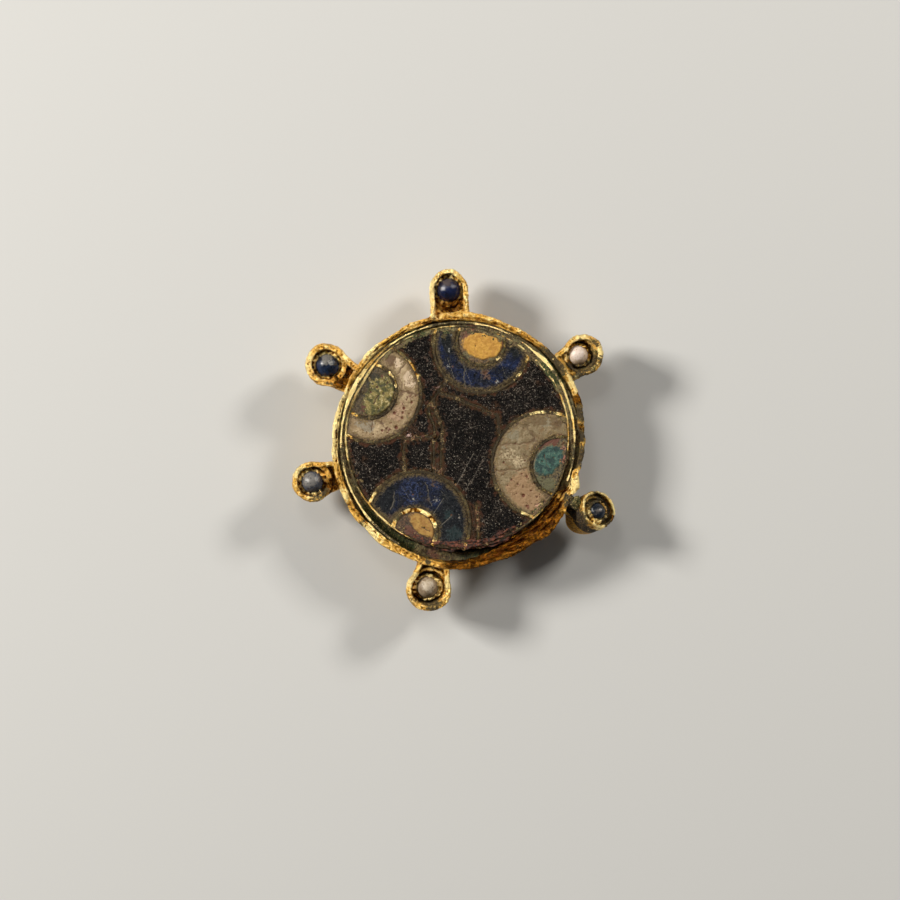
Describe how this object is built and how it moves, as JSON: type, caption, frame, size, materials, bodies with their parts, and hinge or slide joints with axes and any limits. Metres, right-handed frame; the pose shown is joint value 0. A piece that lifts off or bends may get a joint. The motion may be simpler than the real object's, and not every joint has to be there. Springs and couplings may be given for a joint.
{
  "type": "enamel disc brooch",
  "caption": "Round gold disc brooch with a cloisonne enamel plaque of crescents against its rim, bead-set collets standing out around it and a pin behind.",
  "frame": {"origin": "centre of the back plate's rear face", "axes": "+Z out of the enamelled face towards the viewer, +Y up as the brooch is worn, +X to the viewer's right"},
  "size_m": [0.0254, 0.0269, 0.0046],
  "materials": {
    "gold_setting": "beaten gold, worn bright on the edges",
    "gold_plaque": "thin gold strip, dulled",
    "gold_pin": "plain drawn gold",
    "enamel_blue": "blue enamel, worn",
    "enamel_white": "opaque white enamel, cracked and pitted",
    "enamel_yellow": "opaque yellow enamel",
    "enamel_turquoise": "turquoise enamel",
    "enamel_green": "green enamel, weathered",
    "enamel_dark": "near-black purple enamel, granular",
    "glass_blue": "dark blue glass",
    "glass_grey_blue": "grey-blue glass, weathered",
    "pearl": "small pearl, satin"
  },
  "bodies": {
    "root": {"setting": "gold_setting", "cloison_tray": "gold_plaque", "pin_fitting": "gold_pin", "enamel_top_crescent": "enamel_blue", "enamel_lower_left_crescent": "enamel_blue", "enamel_right_crescent": "enamel_white", "enamel_upper_left_crescent": "enamel_white", "enamel_top_lunette": "enamel_yellow", "enamel_lower_left_lunette": "enamel_yellow", "enamel_right_lunette": "enamel_turquoise", "enamel_upper_left_lunette": "enamel_green", "ground_centre": "enamel_dark", "ground_upper_right": "enamel_dark", "ground_upper_left": "enamel_dark", "ground_left": "enamel_dark", "ground_small": "enamel_dark", "ground_band": "enamel_dark", "bead_top": "glass_blue", "bead_upper_left": "glass_blue", "bead_lower_right": "glass_blue", "bead_left": "glass_grey_blue", "bead_upper_right": "pearl", "bead_bottom": "pearl"}
  },
  "joints": []
}
